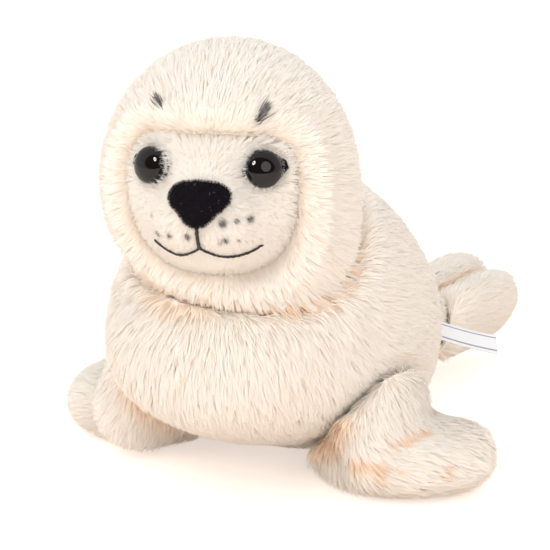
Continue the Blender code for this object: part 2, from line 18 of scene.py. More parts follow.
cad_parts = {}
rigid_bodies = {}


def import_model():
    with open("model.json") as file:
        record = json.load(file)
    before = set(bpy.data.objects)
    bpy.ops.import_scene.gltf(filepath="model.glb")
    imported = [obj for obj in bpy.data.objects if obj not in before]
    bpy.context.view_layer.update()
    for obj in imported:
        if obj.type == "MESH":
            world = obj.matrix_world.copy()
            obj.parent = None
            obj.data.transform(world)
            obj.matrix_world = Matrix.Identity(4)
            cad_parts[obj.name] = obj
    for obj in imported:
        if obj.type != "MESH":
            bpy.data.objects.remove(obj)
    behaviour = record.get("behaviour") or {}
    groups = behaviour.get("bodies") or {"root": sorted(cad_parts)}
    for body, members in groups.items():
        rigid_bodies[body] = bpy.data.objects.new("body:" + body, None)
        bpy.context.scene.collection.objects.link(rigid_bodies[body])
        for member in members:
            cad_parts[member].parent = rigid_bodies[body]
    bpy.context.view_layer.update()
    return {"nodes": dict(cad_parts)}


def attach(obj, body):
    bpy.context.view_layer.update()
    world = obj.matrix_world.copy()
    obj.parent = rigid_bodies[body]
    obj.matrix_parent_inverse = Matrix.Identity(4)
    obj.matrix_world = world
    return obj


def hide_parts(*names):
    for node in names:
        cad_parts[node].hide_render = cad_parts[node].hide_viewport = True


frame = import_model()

# %% [markdown]
# ## The camera
#
# The portrait is taken from the toy's left front, a little above the table, with a long lens. A long lens
# keeps the head and the flippers in proportion. The place to look at is a named point, and the camera
# stands back from it.

# %% Camera
AIM = Vector((0.0, -0.050, 0.080))
CAMERA_SIDE = 29.5
CAMERA_RISE = 13.0
CAMERA_DISTANCE = 0.900
LENS = 144.0
SENSOR_WIDTH = 36.0


def towards(azimuth, elevation):
    """The way from the toy to something round it. Azimuth 0 is ahead of the trunk and 90 is its left side."""
    a, e = math.radians(azimuth), math.radians(elevation)
    return Vector((math.sin(a) * math.cos(e), -math.cos(a) * math.cos(e), math.sin(e)))


def look_at(obj, place, target):
    obj.location = place
    obj.rotation_euler = (target - place).to_track_quat("-Z", "Y").to_euler()


def add_object(name, data):
    """A new object in the scene."""
    obj = bpy.data.objects.new(name, data)
    bpy.context.scene.collection.objects.link(obj)
    return obj


camera = add_object("camera", bpy.data.cameras.new("camera"))
camera.data.lens = LENS
camera.data.sensor_width = SENSOR_WIDTH
look_at(camera, AIM + towards(CAMERA_SIDE, CAMERA_RISE) * CAMERA_DISTANCE, AIM)
bpy.context.scene.camera = camera
bpy.context.scene.view_settings.view_transform = "Standard"
print("camera at", [round(x, 3) for x in camera.location])

# %% [markdown]
# ## A white table and soft light
#
# Pale pile on white needs gentle light: a broad window high on the left of the picture, another low on its
# right, and a white room. The table glows for the camera and in mirrors alone, so that it turns white while
# the toy is lit at a plain level, and it still keeps the toy's shadow.

# %% Light and table
def new_material(name):
    """A material with its nodes and its Principled shader."""
    material = bpy.data.materials.new(name)
    material.use_nodes = True
    tree = material.node_tree
    return material, tree.nodes, tree.links, tree.nodes["Principled BSDF"]


def set_inputs(node, values):
    """Sets a node's own sockets by name."""
    for name, value in values.items():
        node.inputs[name].default_value = value


def add_window(name, azimuth, elevation, distance, power):
    """A square area lamp that faces the toy."""
    lamp = add_object(name, bpy.data.lights.new(name, "AREA"))
    lamp.data.size = WINDOW_SIZE
    lamp.data.energy = power
    lamp.visible_glossy = False
    look_at(lamp, AIM + towards(azimuth, elevation) * distance, AIM)


def only_for_sight(nodes, links):
    """1 for rays from the camera, from a mirror or through glass, and 0 for light that falls on something."""
    path = nodes.new("ShaderNodeLightPath")
    first = nodes.new("ShaderNodeMath")
    second = nodes.new("ShaderNodeMath")
    for node in (first, second):
        node.operation = "MAXIMUM"
    links.new(path.outputs["Is Camera Ray"], first.inputs[0])
    links.new(path.outputs["Is Glossy Ray"], first.inputs[1])
    links.new(first.outputs[0], second.inputs[0])
    links.new(path.outputs["Is Transmission Ray"], second.inputs[1])
    return second.outputs[0]


WINDOW_SIZE = 1.2
TABLE_SIZE = 8.0
TABLE_COLOUR = (0.93, 0.80, 0.72, 1.0)
TABLE_GLOW = 0.48
GLOW_COLOUR = (1.0, 0.96, 0.92, 1.0)
ROOM_LIGHT = 1.12
ROOM_SEEN = 1.0

add_window("key_window", azimuth=-18.0, elevation=34.0, distance=1.3, power=5.0)
add_window("front_window", azimuth=42.0, elevation=6.0, distance=1.4, power=6.5)

table_material, nodes, links, shader = new_material("white_table")
set_inputs(shader, {"Base Color": TABLE_COLOUR, "Roughness": 0.9})
glow = nodes.new("ShaderNodeEmission")
set_inputs(glow, {"Color": GLOW_COLOUR})
both = nodes.new("ShaderNodeAddShader")
strength = nodes.new("ShaderNodeMath")
strength.operation = "MULTIPLY"
strength.inputs[1].default_value = TABLE_GLOW
links.new(only_for_sight(nodes, links), strength.inputs[0])
links.new(strength.outputs[0], glow.inputs["Strength"])
links.new(shader.outputs[0], both.inputs[0])
links.new(glow.outputs[0], both.inputs[1])
links.new(both.outputs[0], nodes["Material Output"].inputs["Surface"])

bpy.ops.mesh.primitive_plane_add(size=TABLE_SIZE, location=(0.0, 0.0, 0.0))
table = bpy.context.active_object
table.name = "table"
table.data.materials.append(table_material)

world = bpy.data.worlds.new("white_room")
world.use_nodes = True
bpy.context.scene.world = world
nodes, links = world.node_tree.nodes, world.node_tree.links
sky = nodes["Background"]
set_inputs(sky, {"Color": (1.0, 1.0, 1.0, 1.0)})
brightness = nodes.new("ShaderNodeMapRange")
set_inputs(brightness, {"To Min": ROOM_LIGHT, "To Max": ROOM_SEEN})
links.new(only_for_sight(nodes, links), brightness.inputs["Value"])
links.new(brightness.outputs["Result"], sky.inputs["Strength"])

# %% [markdown]
# ## What the eyes mirror
#
# A polished black eye shows the room and nothing else. A dark card behind the camera gives each eye its
# black core, a ring-shaped lamp gives the small ring of light, and a dim round one gives the soft spot
# beside it. Only mirror rays see these three, so they cast no light on the toy.

# %% Cards for the reflections
def add_card(name, target, azimuth, elevation, distance, radii, strength, stretch=1.0, corners=64):
    """A flat disc or ring that faces a target and is seen only in mirrors. The stretch widens it."""
    shape = bmesh.new()
    turns = [2 * math.pi * i / corners for i in range(corners)]
    rings = [[shape.verts.new((r * stretch * math.cos(t), r * math.sin(t), 0.0)) for t in turns]
             for r in radii]
    if len(rings) == 1:
        shape.faces.new(rings[0])
    else:
        for i in range(corners):
            j = (i + 1) % corners
            shape.faces.new((rings[0][i], rings[0][j], rings[1][j], rings[1][i]))
    mesh = bpy.data.meshes.new(name)
    shape.to_mesh(mesh)
    shape.free()
    card = add_object(name, mesh)
    look_at(card, target + towards(azimuth, elevation) * distance, target)
    material, _, _, shader = new_material(name)
    set_inputs(shader, {"Base Color": (0.0, 0.0, 0.0, 1.0), "Specular IOR Level": 0.0,
                        "Emission Color": (1.0, 1.0, 1.0, 1.0), "Emission Strength": strength})
    mesh.materials.append(material)
    card.visible_camera = False
    card.visible_diffuse = False
    card.visible_shadow = False
    card.visible_transmission = False
    return card


FACE_MIDDLE = Vector((0.0150, -0.1300, 0.1330))
add_card("dark_card", FACE_MIDDLE, 24.0, 25.0, 1.50, (1.03,), 0.0, stretch=3.3)
add_card("ring_lamp", FACE_MIDDLE, 3.0, 36.0, 1.00, (0.150, 0.062), 45.0)
add_card("round_lamp", FACE_MIDDLE, 60.0, 19.0, 1.00, (0.300,), 2.6)

# %% [markdown]
# ## Reading the solids
#
# A bounding volume tree answers three questions about a solid fast: where is its nearest surface, is a
# point inside it, and does a ray hit it. The pile asks them all, to lie over a neighbour and not run
# through it, and to find the creases where the real toy is tinted.

# %% Trees of the solids
POUCHES = (
    "trunk", "head", "face_panel", "front_flipper_left", "front_flipper_right",
    "hind_flipper_left", "hind_flipper_right",
)


def corners_and_faces(node):
    mesh = frame["nodes"][node].data
    return [v.co.copy() for v in mesh.vertices], [tuple(p.vertices) for p in mesh.polygons]


def tree_of(names, with_table=False):
    """One tree for several solids. The table joins them where it matters that the toy lies on it."""
    points, faces = [], []
    for name in names:
        found, polygons = corners_and_faces(name)
        faces += [tuple(i + len(points) for i in polygon) for polygon in polygons]
        points += found
    if with_table:
        start = len(points)
        points += [Vector((x, y, 0.0)) for x, y in ((-1, -1), (1, -1), (1, 1), (-1, 1))]
        faces.append((start, start + 1, start + 2, start + 3))
    return BVHTree.FromPolygons(points, faces)


pouch_trees = {name: tree_of([name]) for name in POUCHES}
everything = tree_of(POUCHES, with_table=True)
print("trees of", len(pouch_trees), "pouches")


# %% [markdown]
# ## The backing cloth
#
# Under the pile is knitted cloth, sewn into a pouch and stuffed tight. The solid shows the tips of the
# pile, so the cloth lies deeper by the height of the pile. A voxel remesh gives it even squares, and a
# short cloth simulation with air pressure inside rounds it as stuffing does. A limit on how far any point
# moves keeps it in its place. The face is left out of the simulation, so that its forms stay close to the
# solid's.

# %% Backing cloth
LONG_PILE_DEPTH = 0.0019
SHORT_PILE_DEPTH = 0.0016
BACKING_GRID = 0.0030
HEAD_GRID = 0.0025
FACE_GRID = 0.0016
HEAD_CENTRE = Vector((0.0026, -0.0880, 0.1296))
STUFFING_PRESSURE = 4.0
STUFFING_FRAMES = 20
STUFFING_MOVE = 0.0012


def unit(vectors):
    return vectors / np.maximum(np.linalg.norm(vectors, axis=1, keepdims=True), 1e-9)


def keep_shape(obj):
    """Makes what the modifiers show the object's own mesh, and removes them."""
    graph = bpy.context.evaluated_depsgraph_get()
    made = bpy.data.meshes.new_from_object(obj.evaluated_get(graph))
    obj.modifiers.clear()
    obj.data = made
    return obj


def points_of(mesh):
    found = np.empty(len(mesh.vertices) * 3, np.float32)
    mesh.vertices.foreach_get("co", found)
    return found.reshape(-1, 3).astype(float)


def normals_of(mesh):
    found = np.empty(len(mesh.vertices) * 3, np.float32)
    mesh.vertex_normals.foreach_get("vector", found)
    return found.reshape(-1, 3).astype(float)


def put_points(mesh, points):
    mesh.vertices.foreach_set("co", np.asarray(points, np.float32).ravel())
    mesh.update()


def remesh(obj, grid):
    modifier = obj.modifiers.new("even_squares", "REMESH")
    modifier.mode = "VOXEL"
    modifier.voxel_size = grid
    modifier.use_smooth_shade = True
    smooth = obj.modifiers.new("smooth", "SMOOTH")
    smooth.iterations = 4
    smooth.factor = 0.5
    return keep_shape(obj)


def sew_backing(node, depth, grid=BACKING_GRID, centre=None):
    """A copy of the solid, drawn in by the pile's depth: towards the centre, or else along the normals."""
    cloth = add_object(node + "_backing", frame["nodes"][node].data.copy())
    cloth.data.materials.clear()
    shape = bmesh.new()
    shape.from_mesh(cloth.data)
    bmesh.ops.remove_doubles(shape, verts=shape.verts, dist=0.00001)
    shape.to_mesh(cloth.data)
    shape.free()
    remesh(cloth, grid)
    points = points_of(cloth.data)
    inward = -normals_of(cloth.data) if centre is None else unit(np.array(centre) - points)
    put_points(cloth.data, points + inward * depth)
    return remesh(cloth, grid)


def stuff(pouches):
    """Blows the pouches up a little, all in one simulation."""
    starts = {}
    for pouch in pouches:
        starts[pouch.name] = points_of(pouch.data)
        cloth = pouch.modifiers.new("stuffing", "CLOTH")
        cloth.settings.quality = 4
        cloth.settings.use_pressure = True
        cloth.settings.uniform_pressure_force = STUFFING_PRESSURE
        cloth.settings.effector_weights.gravity = 0.0
        cloth.point_cache.frame_end = STUFFING_FRAMES
    for step in range(1, STUFFING_FRAMES + 1):
        bpy.context.scene.frame_set(step)
    for pouch in pouches:
        keep_shape(pouch)
        moved = points_of(pouch.data) - starts[pouch.name]
        length = np.linalg.norm(moved, axis=1, keepdims=True)
        moved *= np.minimum(1.0, STUFFING_MOVE / np.maximum(length, 1e-9))
        put_points(pouch.data, starts[pouch.name] + moved)
        most = round(1000 * float(length.max()), 2)
        print(pouch.name, len(pouch.data.vertices), "points, pushed by up to", most, "mm before the limit")
    bpy.context.scene.frame_set(1)


backings = {}
for name in POUCHES:
    if name == "face_panel":
        backings[name] = sew_backing(name, SHORT_PILE_DEPTH, FACE_GRID, HEAD_CENTRE)
    elif name == "head":
        backings[name] = sew_backing(name, LONG_PILE_DEPTH, HEAD_GRID, HEAD_CENTRE)
    else:
        backings[name] = sew_backing(name, LONG_PILE_DEPTH)
stuff([backings[name] for name in POUCHES if name != "face_panel"])

# %% [markdown]
# ## Where the creases are
#
# Where two pouches of the real toy press together, the pile lies in warm shade and looks peach, and that
# shade is painted into the pile's colour here. A crease is a place that little light reaches, so a few short
# rays from each point of the cloth find it: the share that hits something near is how deep in a crease the
# point lies. Where a crease is deep, and along the seam round the face, the cloth is brought out towards its
# solid, so that the pile can bridge the gap. The seam takes a little painted shade too.

# %% Creases
CREASE_REACH = 0.016
CREASE_RAYS = 24
CREASE_FILL = 1.10
CREASE_FROM = 0.15
CREASE_DEEP = 0.50
# How much of the flippers' crease the trunk takes: in its filled cloth, and in its painted peach shade.
FLANK_CREASE_SHADE = 0.25
RAY_START = 0.0008
COVERED = 0.97

hidden, creases = {}, {}


def ease(values, low, high):
    """A soft step from 0 to 1 between two values."""
    share = np.clip((values - low) / (high - low), 0.0, 1.0)
    return share * share * (3 - 2 * share)


def gap_to(name, points):
    """How far each point is from a solid."""
    return np.array([pouch_trees[name].find_nearest(Vector(point))[3] for point in points])


def shut_share(name, tree):
    """For each point of a backing, the share of the sky above it that something near in the tree takes."""
    points = points_of(backings[name].data)
    shares = np.zeros(len(points))
    golden = math.pi * (3 - math.sqrt(5))
    fan = []
    for i in range(CREASE_RAYS):
        height = math.sqrt((i + 0.5) / CREASE_RAYS)
        reach = math.sqrt(1 - height * height)
        fan.append((reach * math.cos(golden * i), reach * math.sin(golden * i), height))
    for i, point in enumerate(points):
        place, up, _, _ = pouch_trees[name].find_nearest(Vector(point))
        side = up.orthogonal().normalized()
        front = up.cross(side)
        start = place + up * RAY_START
        hits = 0
        for a, b, c in fan:
            if tree.ray_cast(start, side * a + front * b + up * c, CREASE_REACH)[0] is not None:
                hits += 1
        shares[i] = hits / CREASE_RAYS
    return shares


def bring_out(name, chosen, most, share):
    """Brings the chosen points of a backing out towards its solid, where they aren't covered."""
    mesh = backings[name].data
    points = points_of(mesh)
    for i in np.nonzero(chosen & (hidden[name] < COVERED))[0]:
        place = np.array(pouch_trees[name].find_nearest(Vector(points[i]))[0])
        points[i] += (place - points[i]) * most * share[i]
    put_points(mesh, points)


for name in POUCHES:
    hidden[name] = shut_share(name, everything)
    creases[name] = np.zeros(len(hidden[name]))
    # Each group gives a crease share: it sets how far the cloth is filled and how much painted shade the pile
    # takes.
    for group, crease_share in ((POUCHES[:2], 1.0), (POUCHES[3:], FLANK_CREASE_SHADE if name == "trunk" else 1.0)):
        others = [other for other in group if other != name]
        if name != "face_panel" and others:
            creases[name] = np.maximum(creases[name], crease_share * shut_share(name, tree_of(others)))
    crease = creases[name]
    bring_out(name, crease > CREASE_FROM, CREASE_FILL, ease(crease, CREASE_FROM, CREASE_DEEP))
    print(name, "mean crease depth", round(float(creases[name].mean()), 3))

SEAM_LIFT = 0.70
SEAM_LIFT_FULL = 0.004
SEAM_LIFT_REACH = 0.014
gap = gap_to("face_panel", points_of(backings["head"].data))
bring_out("head", gap < SEAM_LIFT_REACH, SEAM_LIFT, 1 - ease(gap, SEAM_LIFT_FULL, SEAM_LIFT_REACH))

# Along the seam round the face the pile takes a little painted peach shade, as in a crease.
SEAM_PAINTED_SHADE = 0.27
HOOD_SHADE_REACH = 0.0026
FACE_SHADE_REACH = 0.0018
for name, other, far in (("head", "face_panel", HOOD_SHADE_REACH), ("face_panel", "head", FACE_SHADE_REACH)):
    gap = gap_to(other, points_of(backings[name].data))
    creases[name] = np.maximum(creases[name], SEAM_PAINTED_SHADE * (1 - ease(gap, 0.25 * far, far)))

# %% [markdown]
# ## Pile
#
# Plush pile is a forest of fine fibres that lie over in one direction and clump into small locks. Each blade
# here is a narrow strip of mesh that rises from the cloth, bends over and tapers to a point. Real mesh, and
# not a hair system, keeps its form in every program that opens the model. A blade is shaded partly like the
# cloth under it and partly by its own face, so that a field of them looks soft and still has strands. Every
# blade has four marks for its finish to read: how far along it a point is, its own tone, how much painted
# crease shade it takes, and how dark it is.

# %% Growing a blade
BLADE_STATIONS = np.array([0.0, 0.55, 1.0])
BLADE_WIDTHS = np.array([0.75, 1.0])
STATION_OF_POINT = np.array([0, 0, 1, 1, 2])
BLADE_FACES = np.array([0, 1, 3, 2, 2, 3, 4])
BLADE_SIZES = (4, 3)
PILE_SEED = 7
PUSH_REACH = 0.012
OWN_FACE = 0.7
ABOVE_TABLE = 0.0004
CLEAR_OF_NEIGHBOUR = 0.0004


def scatter(mesh, count, density, random):
    """Random points on a mesh, their normals, and a function that reads a value of its points there."""
    mesh.calc_loop_triangles()
    corners = np.empty(len(mesh.loop_triangles) * 3, np.int32)
    mesh.loop_triangles.foreach_get("vertices", corners)
    corners = corners.reshape(-1, 3)
    points, normals = points_of(mesh), normals_of(mesh)
    a, b, c = (points[corners[:, i]] for i in range(3))
    area = np.linalg.norm(np.cross(b - a, c - a), axis=1) / 2
    weight = area * density[corners].mean(axis=1)
    chosen = random.choice(len(corners), size=count, p=weight / weight.sum())
    u, v = random.random(count), random.random(count)
    turned = u + v > 1
    u[turned], v[turned] = 1 - u[turned], 1 - v[turned]
    shares = np.stack([1 - u - v, u, v], axis=1)[:, :, None]

    def read(values):
        values = np.asarray(values, float).reshape(len(points), -1)
        return (values[corners[chosen]] * shares).sum(axis=1)

    return read(points), unit(read(normals)), read


def lock_leaders(roots, size, random):
    """Every blade belongs to a lock. Returns, for each blade, the one that leads its lock."""
    leaders = random.choice(len(roots), size=max(1, len(roots) // size), replace=False)
    finder = kdtree.KDTree(len(leaders))
    for i, leader in enumerate(leaders):
        finder.insert(roots[leader], i)
    finder.balance()
    return leaders[np.array([finder.find(root)[1] for root in roots])]


def pushed_out(tips, trees, near):
    """How far each tip has to move to leave the neighbours that it runs into. Only near ones are tried."""
    moves = np.zeros_like(tips)
    for i in np.nonzero(near)[0]:
        tip = Vector(tips[i])
        for tree in trees:
            place, normal, _, _ = tree.find_nearest(tip, PUSH_REACH)
            if place is not None and (tip - place).dot(normal) < 0:
                moves[i] += np.array(place + normal * CLEAR_OF_NEIGHBOUR) - tips[i]
    return moves


def blade_mesh(name, lines, across, width, shown, marks):
    """One mesh of strips. Lines is (blades, stations, 3), and a mark has a value for a blade or a station."""
    blades = len(lines)
    half = across[:, None, :] * (BLADE_WIDTHS[None, :] * width[:, None] / 2)[:, :, None]
    sides = np.stack([lines[:, :2] - half, lines[:, :2] + half], axis=2).reshape(blades, 4, 3)
    points = np.concatenate([sides, lines[:, 2:]], axis=1)
    each = len(STATION_OF_POINT)
    corners = (np.arange(blades)[:, None] * each + BLADE_FACES[None, :]).ravel()
    sizes = np.tile(BLADE_SIZES, blades)
    mesh = bpy.data.meshes.new(name)
    mesh.vertices.add(blades * each)
    mesh.vertices.foreach_set("co", points.astype(np.float32).ravel())
    mesh.loops.add(len(corners))
    mesh.loops.foreach_set("vertex_index", corners.astype(np.int32))
    mesh.polygons.add(len(sizes))
    mesh.polygons.foreach_set("loop_start", (np.cumsum(sizes) - sizes).astype(np.int32))
    mesh.update(calc_edges=True)
    mesh.shade_smooth()

    for label, values in marks.items():
        values = values[:, STATION_OF_POINT] if values.ndim == 2 else np.repeat(values, each)
        layer = mesh.attributes.new(label, "FLOAT", "POINT")
        layer.data.foreach_set("value", values.astype(np.float32).ravel())

    side = math.ceil(math.sqrt(blades))
    cell = np.stack([np.arange(blades) % side, np.arange(blades) // side], axis=1)
    spot = np.stack([[0.15, 0.85, 0.15, 0.85, 0.5], 0.1 + 0.8 * BLADE_STATIONS[STATION_OF_POINT]], axis=1)
    layout = (cell[:, None, :] + spot[None, :, :]).reshape(-1, 2) / side
    sheet = mesh.uv_layers.new(name="OFBake")
    sheet.data.foreach_set("uv", layout[corners].astype(np.float32).ravel())
    mesh.normals_split_custom_set_from_vertices(np.repeat(shown, each, axis=0).astype(np.float32))
    return mesh


def grow_pile(name, node, count, length, width, lift, comb, material, neighbours=(), density=None,
              lock=12, gather=0.07, wander=6.0, dye=None, dye_by_root=False, size_at=None, dent=None,
              keep=None):
    """Covers a backing with blades and returns the piece.

    lift is the angle off the cloth at the root and at the tip, and comb(points, normals) gives the way the
    pile lies. Of points too, dye gives how dark they are, size_at the share of the length, dent how far the
    pile is pressed in and how much painted shade it takes, and keep whether it grows there.
    """
    random = np.random.default_rng([PILE_SEED, count])
    mesh = backings[node].data
    weight = np.ones(len(mesh.vertices)) if density is None else density
    weight = weight * np.clip((0.99 - hidden[node]) / 0.03, 0.0, 1.0)
    roots, normals, read = scatter(mesh, count, weight, random)
    crease = np.clip(read(creases[node])[:, 0], 0.0, 1.0)
    if keep is not None:
        kept = keep(roots)
        roots, normals, crease = roots[kept], normals[kept], crease[kept]
    blades = len(roots)

    way = comb(roots, normals)
    way = unit(way - normals * (way * normals).sum(axis=1, keepdims=True))
    sideways = np.cross(normals, way)
    leaders = lock_leaders(roots, lock, random)
    turn = random.normal(0.0, math.radians(wander), blades)[leaders]
    turn = turn + random.normal(0.0, math.radians(wander * 0.6), blades)
    way = way * np.cos(turn)[:, None] + sideways * np.sin(turn)[:, None]
    size = length * random.uniform(0.75, 1.15, blades) * (1.0 if size_at is None else size_at(roots))
    rise = random.normal(1.0, 0.12, blades)
    if dent is not None:
        # A dent presses the pile in and gives it painted shade in the fold.
        pressed, fold_shade = dent(roots)
        roots = roots - normals * pressed[:, None]
        crease = np.maximum(crease, fold_shade)

    lines = np.repeat(roots[:, None, :], len(BLADE_STATIONS), axis=1)
    for i, (start, end) in enumerate(zip(BLADE_STATIONS, BLADE_STATIONS[1:]), start=1):
        angle = np.radians(lift[0] + (lift[1] - lift[0]) * (start + end) / 2) * rise
        step = way * np.cos(angle)[:, None] + normals * np.sin(angle)[:, None]
        lines[:, i:] += (step * (size * (end - start))[:, None])[:, None, :]
    bent = BLADE_STATIONS[None, :, None] ** 2
    lines += ((lines[leaders, -1] - lines[:, -1]) * gather)[:, None, :] * bent
    lines += pushed_out(lines[:, -1], neighbours, crease > 0.02)[:, None, :] * bent
    lines[:, :, 2] = np.maximum(lines[:, :, 2], ABOVE_TABLE)

    growth = unit(lines[:, -1] - lines[:, 0])
    level = unit(np.cross(growth, normals))
    face = np.cross(level, growth)
    roll = random.normal(0.0, math.radians(9.0), blades)[:, None]
    across = level * np.cos(roll) + face * np.sin(roll)
    shown = unit(normals + OWN_FACE * np.cross(across, growth))
    tone = random.normal(0.5, 0.13, blades) + random.normal(0.0, 0.11, blades)[leaders]
    dark = np.zeros(blades)
    if dye is not None:
        dyed = np.repeat(roots, len(BLADE_STATIONS), axis=0) if dye_by_root else lines.reshape(-1, 3)
        dark = dye(dyed).reshape(blades, -1) * random.uniform(0.45, 1.0, blades)[:, None]
    marks = {"along": np.tile(BLADE_STATIONS, (blades, 1)), "tone": np.clip(tone, 0.0, 1.0),
             "crease": crease, "dark": dark}
    made = blade_mesh(name, lines, across, width * random.uniform(0.75, 1.2, blades), shown, marks)
    piece = add_object(name, made)
    piece.data.materials.append(material)
    print(name, blades, "blades,", blades * (2 * len(BLADE_STATIONS) - 3), "triangles")
    return piece


# %% [markdown]
# ## The finish of the pile
#
# The fibres are ivory at the tip and a little warmer at the root. Where the cloth folds, the shade that falls
# there is painted into them as a peach colour, and a few are dyed dark for whisker dots and brows. The
# blade's own tone keeps neighbours apart, as real fibres catch the light one by one. Fibre is so thin that
# light shines through it, so a translucent share is mixed in.

# %% Pile finish
def colour_mix(nodes, links, share, first, second):
    """A node that goes from the first colour to the second. Each is a colour or a socket."""
    mix = nodes.new("ShaderNodeMix")
    mix.data_type = "RGBA"
    for socket, value in ((mix.inputs[0], share), (mix.inputs[6], first), (mix.inputs[7], second)):
        if isinstance(value, bpy.types.NodeSocket):
            links.new(value, socket)
        elif isinstance(value, tuple):
            socket.default_value = (*value, 1.0)
        else:
            socket.default_value = value
    return mix.outputs[2]


def mark_of(nodes, links, label, low=0.0, high=1.0, to_low=0.0, to_high=1.0):
    """A blade's mark, read and stretched to a range."""
    attribute = nodes.new("ShaderNodeAttribute")
    attribute.attribute_name = label
    stretch = nodes.new("ShaderNodeMapRange")
    stretch.interpolation_type = "SMOOTHSTEP"
    for socket, value in zip(("From Min", "From Max", "To Min", "To Max"), (low, high, to_low, to_high)):
        stretch.inputs[socket].default_value = value
    links.new(attribute.outputs["Fac"], stretch.inputs["Value"])
    return stretch.outputs["Result"]


# The peach colour of the painted shade in creases, along the seam and in the folds.
PAINTED_PEACH_SHADE = (0.97, 0.78, 0.60)
DYE = (0.040, 0.034, 0.032)
SHINE_THROUGH = 0.60


def pile_finish(name, tip, root, crease_from, crease_to, peach_shade_share, peach_shade_at_tip):
    material, nodes, links, shader = new_material(name)
    base = colour_mix(nodes, links, mark_of(nodes, links, "along", 0.0, 0.8), root, tip)
    shade = tuple(c * k for c, k in zip(tip, (0.985, 0.96, 0.925)))
    base = colour_mix(nodes, links, mark_of(nodes, links, "tone", 0.2, 0.9, 0.0, 0.8), base, shade)
    # Painted shade: the crease mark turns the colour towards peach, less towards the tips.
    fold = nodes.new("ShaderNodeMath")
    fold.operation = "MULTIPLY"
    links.new(mark_of(nodes, links, "crease", crease_from, crease_to, 0.0, peach_shade_share), fold.inputs[0])
    links.new(mark_of(nodes, links, "along", 0.1, 1.0, 1.0, peach_shade_at_tip), fold.inputs[1])
    base = colour_mix(nodes, links, fold.outputs[0], base, PAINTED_PEACH_SHADE)
    base = colour_mix(nodes, links, mark_of(nodes, links, "dark", 0.0, 1.0, 0.0, 0.95), base, DYE)
    links.new(base, shader.inputs["Base Color"])
    set_inputs(shader, {"Roughness": 0.8, "Specular IOR Level": 0.2})
    through = nodes.new("ShaderNodeBsdfTranslucent")
    links.new(base, through.inputs["Color"])
    both = nodes.new("ShaderNodeMixShader")
    both.inputs[0].default_value = SHINE_THROUGH
    links.new(shader.outputs[0], both.inputs[1])
    links.new(through.outputs[0], both.inputs[2])
    links.new(both.outputs[0], nodes["Material Output"].inputs["Surface"])
    return material


IVORY = (0.992, 0.973, 0.943)
IVORY_ROOT = (0.988, 0.944, 0.885)
MILK = (0.992, 0.977, 0.950)
MILK_ROOT = (0.988, 0.955, 0.908)

long_pile = pile_finish("long_pile", IVORY, IVORY_ROOT, 0.12, 0.60, 0.90, 0.45)
short_pile = pile_finish("short_pile", MILK, MILK_ROOT, 0.30, 0.85, 0.60, 0.5)
print("pile finishes:", long_pile.name, "and", short_pile.name)

# %% [markdown]
# ## The finish of the backing
#
# The backing itself only shows between the blades, as a warm ground with the loops of its knit. Two helpers
# make it: one sets a fine texture in the piece's own coordinates, and one turns a texture into bumps. The
# felt, the thread, the eyes, the washers and the ribbon use them again.

# %% Backing finish
KNIT_COLOUR = (0.975, 0.93, 0.87)
KNIT_SHADE = tuple(c * 0.9 for c in KNIT_COLOUR)


def fine_texture(nodes, links, kind, output="Fac", **settings):
    """A small texture in the piece's own coordinates. Returns the socket that holds it."""
    where = nodes.new("ShaderNodeTexCoord")
    texture = nodes.new("ShaderNodeTex" + kind)
    set_inputs(texture, settings)
    links.new(where.outputs["Object"], texture.inputs["Vector"])
    return texture.outputs[output]


def add_bumps(nodes, links, shader, height, strength, depth):
    bump = nodes.new("ShaderNodeBump")
    set_inputs(bump, {"Strength": strength, "Distance": depth})
    links.new(height, bump.inputs["Height"])
    links.new(bump.outputs["Normal"], shader.inputs["Normal"])


backing_material, nodes, links, shader = new_material("knit_backing")
knit = fine_texture(nodes, links, "Voronoi", "Distance", Scale=900.0)
links.new(colour_mix(nodes, links, knit, KNIT_COLOUR, KNIT_SHADE), shader.inputs["Base Color"])
add_bumps(nodes, links, shader, knit, 0.4, 0.0004)
set_inputs(shader, {"Roughness": 0.95})


def dress(piece, node):
    """Parents a piece to the toy's root body and hides the solid that it stands for."""
    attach(piece, "root")
    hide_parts(node)


def finish_pouch(node, piles):
    backing = backings[node]
    backing.data.materials.clear()
    backing.data.materials.append(backing_material)
    for piece in [backing] + piles:
        dress(piece, node)


# %% [markdown]
# ## The head's own directions
#
# The face looks ahead of the head, which is turned to the toy's left. Angles to the side and up from the
# head's centre place everything on the face, so a helper turns a point into those angles and back.

# %% Head directions
HEAD_TURN = math.radians(17.6)
HEAD_SPIN = Matrix.Rotation(HEAD_TURN, 3, "Z")
AHEAD = HEAD_SPIN @ Vector((0.0, -1.0, 0.0))
print("the head looks along", [round(x, 3) for x in AHEAD])


def head_way(side, up):
    """The unit vector from the head's centre at these angles."""
    side, up = math.radians(side), math.radians(up)
    return HEAD_SPIN @ Vector((math.sin(side) * math.cos(up), -math.cos(side) * math.cos(up), math.sin(up)))


def head_angles(points):
    """The side and up angles of many points, in degrees."""
    local = (np.asarray(points) - np.array(HEAD_CENTRE)) @ np.array(HEAD_SPIN)
    far = np.linalg.norm(local, axis=1)
    return np.degrees(np.arctan2(local[:, 0], -local[:, 1])), np.degrees(np.arcsin(local[:, 2] / far))


def away_from_face(points):
    """Along the head's round, away from the middle of the face."""
    out = unit(np.asarray(points) - np.array(HEAD_CENTRE))
    ahead = np.array(AHEAD)
    return unit(-(ahead - out * (out @ ahead)[:, None])), out


# %% [markdown]
# ## The trunk's pile
#
# The chest is combed down from the neck and fans out a little. The flanks and the back are combed towards
# the tail. The two combings blend between the shoulders.

# %% Trunk pile
CHEST_FROM = 0.055
CHEST_FULL = 0.105


